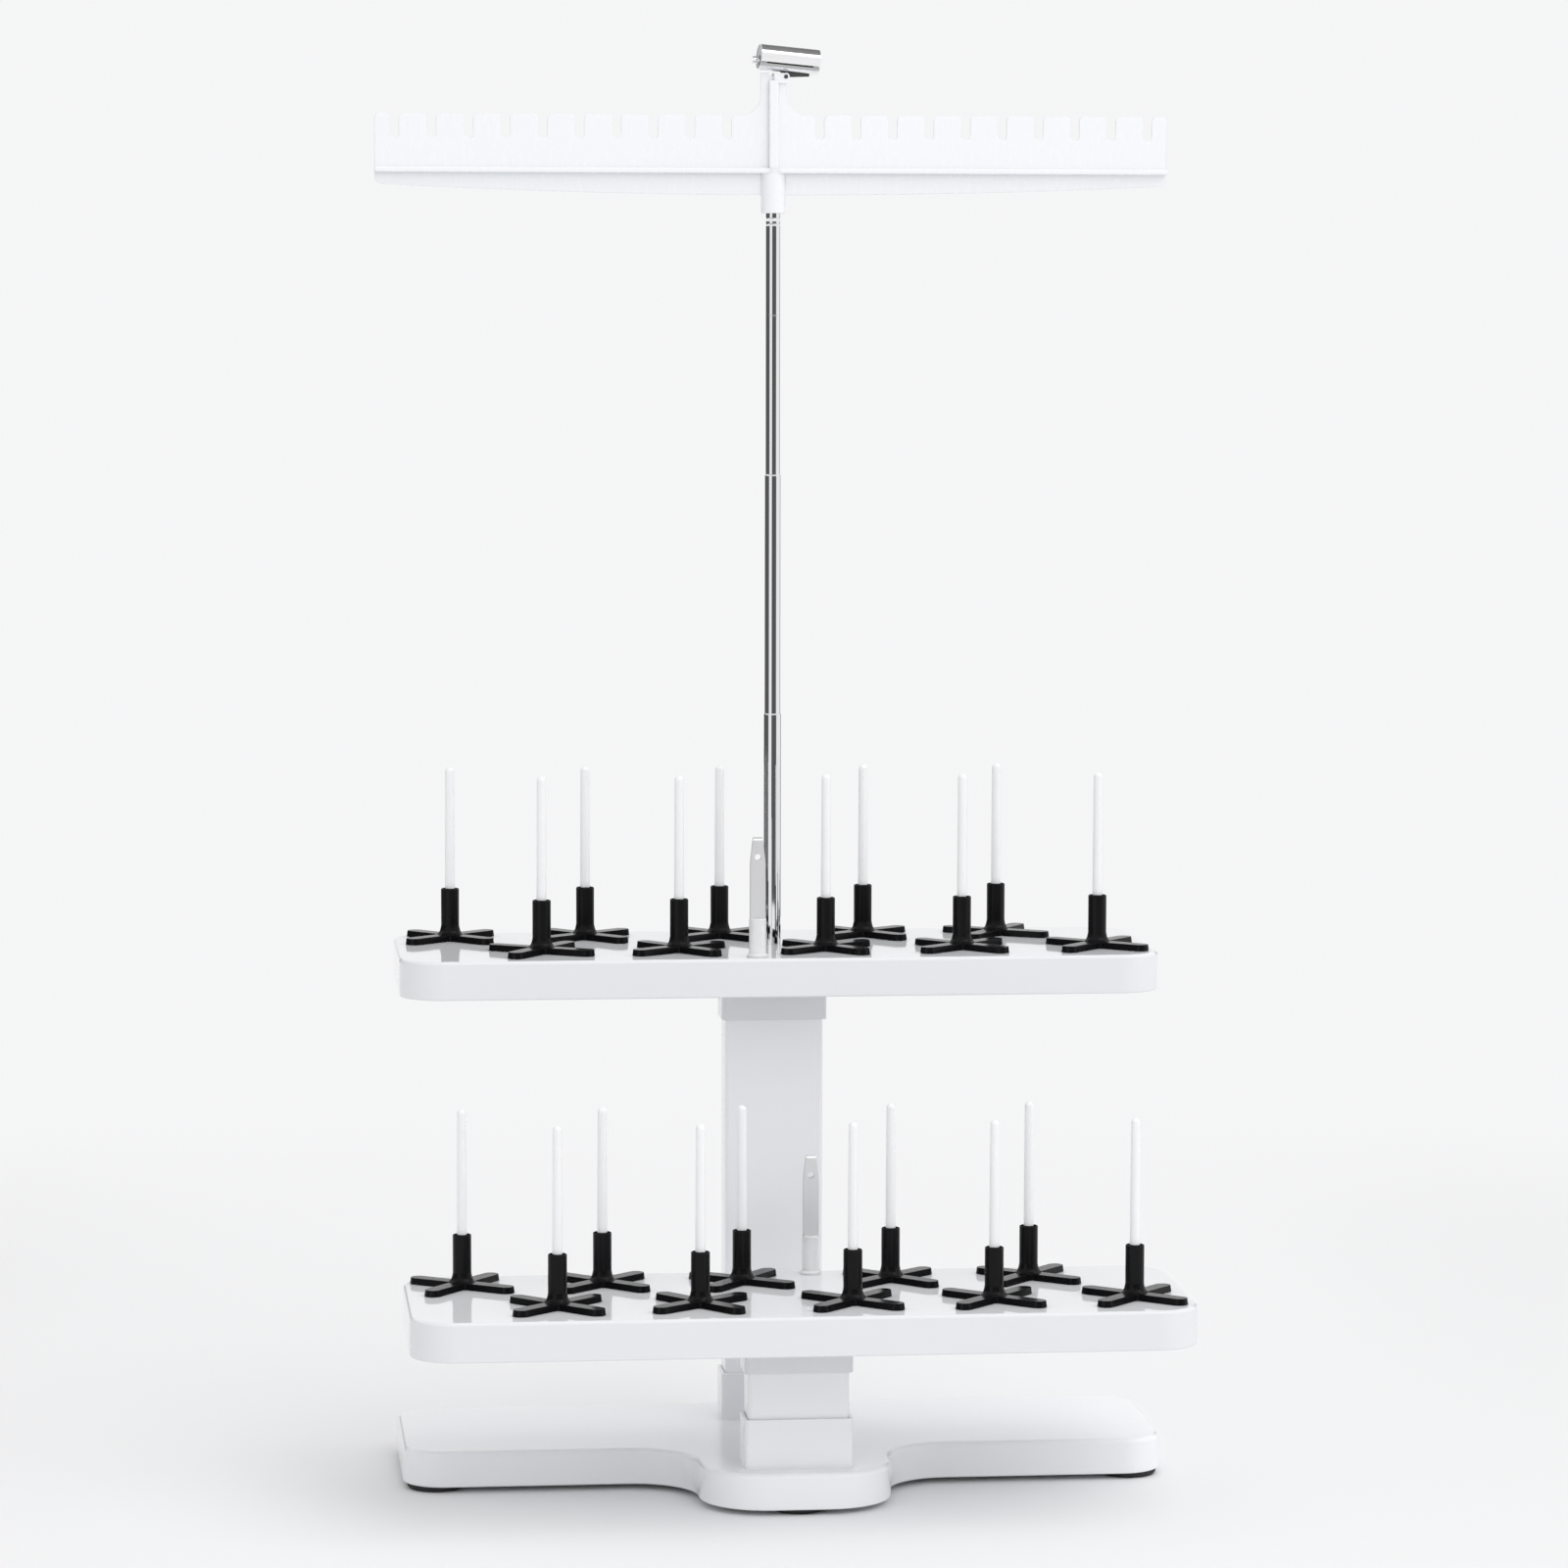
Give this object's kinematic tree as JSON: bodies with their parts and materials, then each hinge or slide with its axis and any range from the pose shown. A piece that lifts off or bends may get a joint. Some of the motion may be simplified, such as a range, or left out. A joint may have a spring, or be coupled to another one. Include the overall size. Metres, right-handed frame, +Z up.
{
  "type": "thread rack",
  "caption": "Free-standing thread rack: low base, posts, staggered spool pins on trays, telescopic pole and a notched thread guide bar on top.",
  "frame": {"origin": "on the floor, midway between the two posts and under the middle of the trays", "axes": "+X to the right along the trays and the guide bar, +Y from the front post to the rear post, +Z up"},
  "size_m": [0.434, 0.27, 0.7792],
  "materials": {
    "white_shell": "gloss",
    "white_pin": "satin, slightly translucent",
    "black_holder": "semi-gloss",
    "black_rubber": "matt",
    "chrome_tube": "polished",
    "guide_metal": "brushed",
    "screw_steel": "zinc plated",
    "grey_plug": "matt",
    "light_bush": "satin",
    "clear_plastic": "translucent"
  },
  "bodies": {
    "stand": {"base_shell": "white_shell", "base_cover": "white_shell", "base_cover_screws": "screw_steel", "base_feet": "black_rubber", "front_post": "white_shell", "rear_post": "white_shell", "post_screws": "screw_steel", "lower_tray_shell": "white_shell", "lower_tray_cover": "white_shell", "lower_tray_screws": "screw_steel", "upper_tray_shell": "white_shell", "upper_tray_cover": "white_shell", "upper_tray_screws": "screw_steel", "lower_spool_pins": "white_pin", "upper_spool_pins": "white_pin", "pole_lower_tube": "chrome_tube", "pole_base_plug": "grey_plug", "pole_base_screw": "screw_steel", "upper_eyelet_strip": "guide_metal", "upper_eyelet_foot": "clear_plastic", "lower_eyelet_strip": "guide_metal", "lower_eyelet_foot": "clear_plastic"},
    "middle_pole": {"pole_middle_tube": "chrome_tube", "pole_middle_plug": "grey_plug"},
    "upper_pole": {"pole_upper_tube": "chrome_tube", "pole_upper_plug": "grey_plug"},
    "thread_guide_bar": {"guide_bar": "white_shell", "guide_hinge_pin": "grey_plug"},
    "guide_tube_unit": {"guide_saddle": "grey_plug", "guide_tube": "guide_metal", "guide_tube_bushes": "light_bush", "guide_tube_rod": "guide_metal"},
    "upper_holder_back_1_body": {"upper_holder_back_1": "black_holder"},
    "upper_holder_front_1_body": {"upper_holder_front_1": "black_holder"},
    "upper_holder_back_2_body": {"upper_holder_back_2": "black_holder"},
    "upper_holder_front_2_body": {"upper_holder_front_2": "black_holder"},
    "upper_holder_back_3_body": {"upper_holder_back_3": "black_holder"},
    "upper_holder_front_3_body": {"upper_holder_front_3": "black_holder"},
    "upper_holder_back_4_body": {"upper_holder_back_4": "black_holder"},
    "upper_holder_front_4_body": {"upper_holder_front_4": "black_holder"},
    "upper_holder_back_5_body": {"upper_holder_back_5": "black_holder"},
    "upper_holder_front_5_body": {"upper_holder_front_5": "black_holder"},
    "lower_holder_back_1_body": {"lower_holder_back_1": "black_holder"},
    "lower_holder_front_1_body": {"lower_holder_front_1": "black_holder"},
    "lower_holder_back_2_body": {"lower_holder_back_2": "black_holder"},
    "lower_holder_front_2_body": {"lower_holder_front_2": "black_holder"},
    "lower_holder_back_3_body": {"lower_holder_back_3": "black_holder"},
    "lower_holder_front_3_body": {"lower_holder_front_3": "black_holder"},
    "lower_holder_back_4_body": {"lower_holder_back_4": "black_holder"},
    "lower_holder_front_4_body": {"lower_holder_front_4": "black_holder"},
    "lower_holder_back_5_body": {"lower_holder_back_5": "black_holder"},
    "lower_holder_front_5_body": {"lower_holder_front_5": "black_holder"}
  },
  "joints": [
    {"name": "middle_pole_slide", "type": "slide", "parent": "stand", "child": "middle_pole", "axis": [0, 0, 1], "range_m": [-0.115, 0]},
    {"name": "upper_pole_slide", "type": "slide", "parent": "middle_pole", "child": "upper_pole", "axis": [0, 0, 1], "range_m": [-0.12, 0]},
    {"name": "guide_bar_swivel", "type": "hinge", "parent": "upper_pole", "child": "thread_guide_bar", "pos_m": [0, 0.065, 0.6872], "axis": [0, 0, 1], "continuous": true},
    {"name": "guide_tube_tilt", "type": "hinge", "parent": "thread_guide_bar", "child": "guide_tube_unit", "pos_m": [0.00624, 0.06588, 0.7613], "axis": [-0.1392, 0.9903, 0], "range_deg": [-5, 30]},
    {"name": "upper_holder_back_1_spin", "type": "hinge", "parent": "stand", "child": "upper_holder_back_1_body", "pos_m": [-0.1761, 0.098, 0.2863], "axis": [0, 0, 1], "continuous": true},
    {"name": "upper_holder_front_1_spin", "type": "hinge", "parent": "stand", "child": "upper_holder_front_1_body", "pos_m": [-0.1293, 0.032, 0.2863], "axis": [0, 0, 1], "continuous": true},
    {"name": "upper_holder_back_2_spin", "type": "hinge", "parent": "stand", "child": "upper_holder_back_2_body", "pos_m": [-0.1011, 0.098, 0.2863], "axis": [0, 0, 1], "continuous": true},
    {"name": "upper_holder_front_2_spin", "type": "hinge", "parent": "stand", "child": "upper_holder_front_2_body", "pos_m": [-0.0543, 0.032, 0.2863], "axis": [0, 0, 1], "continuous": true},
    {"name": "upper_holder_back_3_spin", "type": "hinge", "parent": "stand", "child": "upper_holder_back_3_body", "pos_m": [-0.0261, 0.098, 0.2863], "axis": [0, 0, 1], "continuous": true},
    {"name": "upper_holder_front_3_spin", "type": "hinge", "parent": "stand", "child": "upper_holder_front_3_body", "pos_m": [0.0261, 0.032, 0.2863], "axis": [0, 0, 1], "continuous": true},
    {"name": "upper_holder_back_4_spin", "type": "hinge", "parent": "stand", "child": "upper_holder_back_4_body", "pos_m": [0.0543, 0.098, 0.2863], "axis": [0, 0, 1], "continuous": true},
    {"name": "upper_holder_front_4_spin", "type": "hinge", "parent": "stand", "child": "upper_holder_front_4_body", "pos_m": [0.1011, 0.032, 0.2863], "axis": [0, 0, 1], "continuous": true},
    {"name": "upper_holder_back_5_spin", "type": "hinge", "parent": "stand", "child": "upper_holder_back_5_body", "pos_m": [0.1293, 0.098, 0.2863], "axis": [0, 0, 1], "continuous": true},
    {"name": "upper_holder_front_5_spin", "type": "hinge", "parent": "stand", "child": "upper_holder_front_5_body", "pos_m": [0.1761, 0.032, 0.2863], "axis": [0, 0, 1], "continuous": true},
    {"name": "lower_holder_back_1_spin", "type": "hinge", "parent": "stand", "child": "lower_holder_back_1_body", "pos_m": [-0.1761, -0.032, 0.1143], "axis": [0, 0, 1], "continuous": true},
    {"name": "lower_holder_front_1_spin", "type": "hinge", "parent": "stand", "child": "lower_holder_front_1_body", "pos_m": [-0.1293, -0.098, 0.1143], "axis": [0, 0, 1], "continuous": true},
    {"name": "lower_holder_back_2_spin", "type": "hinge", "parent": "stand", "child": "lower_holder_back_2_body", "pos_m": [-0.1011, -0.032, 0.1143], "axis": [0, 0, 1], "continuous": true},
    {"name": "lower_holder_front_2_spin", "type": "hinge", "parent": "stand", "child": "lower_holder_front_2_body", "pos_m": [-0.0543, -0.098, 0.1143], "axis": [0, 0, 1], "continuous": true},
    {"name": "lower_holder_back_3_spin", "type": "hinge", "parent": "stand", "child": "lower_holder_back_3_body", "pos_m": [-0.0261, -0.032, 0.1143], "axis": [0, 0, 1], "continuous": true},
    {"name": "lower_holder_front_3_spin", "type": "hinge", "parent": "stand", "child": "lower_holder_front_3_body", "pos_m": [0.0261, -0.098, 0.1143], "axis": [0, 0, 1], "continuous": true},
    {"name": "lower_holder_back_4_spin", "type": "hinge", "parent": "stand", "child": "lower_holder_back_4_body", "pos_m": [0.0543, -0.032, 0.1143], "axis": [0, 0, 1], "continuous": true},
    {"name": "lower_holder_front_4_spin", "type": "hinge", "parent": "stand", "child": "lower_holder_front_4_body", "pos_m": [0.1011, -0.098, 0.1143], "axis": [0, 0, 1], "continuous": true},
    {"name": "lower_holder_back_5_spin", "type": "hinge", "parent": "stand", "child": "lower_holder_back_5_body", "pos_m": [0.1293, -0.032, 0.1143], "axis": [0, 0, 1], "continuous": true},
    {"name": "lower_holder_front_5_spin", "type": "hinge", "parent": "stand", "child": "lower_holder_front_5_body", "pos_m": [0.1761, -0.098, 0.1143], "axis": [0, 0, 1], "continuous": true}
  ]
}
